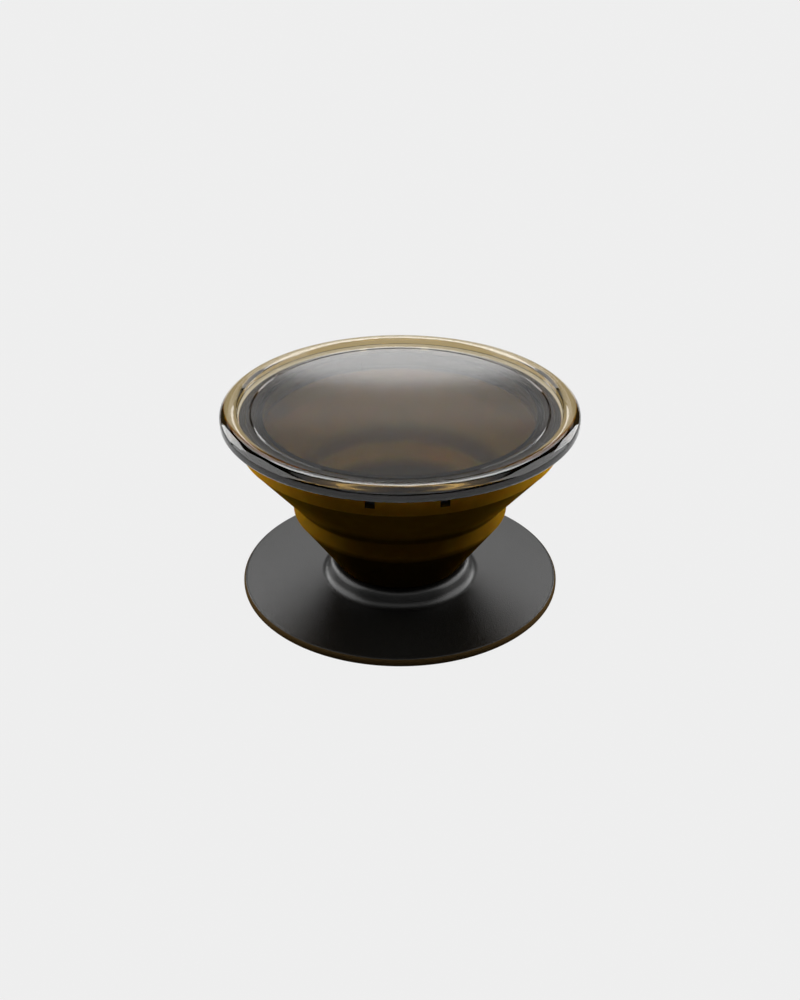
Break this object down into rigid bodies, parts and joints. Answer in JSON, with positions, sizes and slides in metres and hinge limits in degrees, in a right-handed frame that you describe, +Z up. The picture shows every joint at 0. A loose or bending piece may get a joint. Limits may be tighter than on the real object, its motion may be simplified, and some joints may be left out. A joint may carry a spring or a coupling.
{
  "type": "collapsible phone grip",
  "caption": "Collapsible grip for the back of a phone: a round see-through top on a folding accordion, a flat stick-on base, and a quarter-turn lock.",
  "frame": {"origin": "centre of the adhesive pad's underside, which the grip rests on or sticks with", "axes": "+Z up along the grip's axis, from the adhesive towards the top; the picture's camera looks along +Y"},
  "size_m": [0.0398, 0.0398, 0.0232],
  "materials": {
    "smoke_clear": "polished, see-through, smoke tinted",
    "amber_flex": "satin, translucent amber-brown",
    "collar_black": "moulded",
    "base_black": "fine matte, moulded",
    "plug_black": "moulded",
    "adhesive_grey": "soft, tacky"
  },
  "bodies": {
    "base": {"base_plate": "base_black", "adhesive_pad": "adhesive_grey"},
    "core": {"hub_plug": "plug_black", "accordion": "amber_flex"},
    "collar": {"collar_ring": "collar_black"},
    "cap": {"top_cap": "smoke_clear"}
  },
  "joints": [
    {"name": "swivel", "type": "hinge", "parent": "base", "child": "core", "pos_m": [0, 0, 0], "axis": [0, 0, 1], "continuous": true},
    {"name": "collapse", "type": "slide", "parent": "core", "child": "collar", "axis": [0, 0, 1], "range_m": [-0.015, 0], "deforming": ["accordion"]},
    {"name": "cap_turn", "type": "hinge", "parent": "collar", "child": "cap", "pos_m": [0, 0, 0], "axis": [0, 0, 1], "range_deg": [0, 90]}
  ]
}
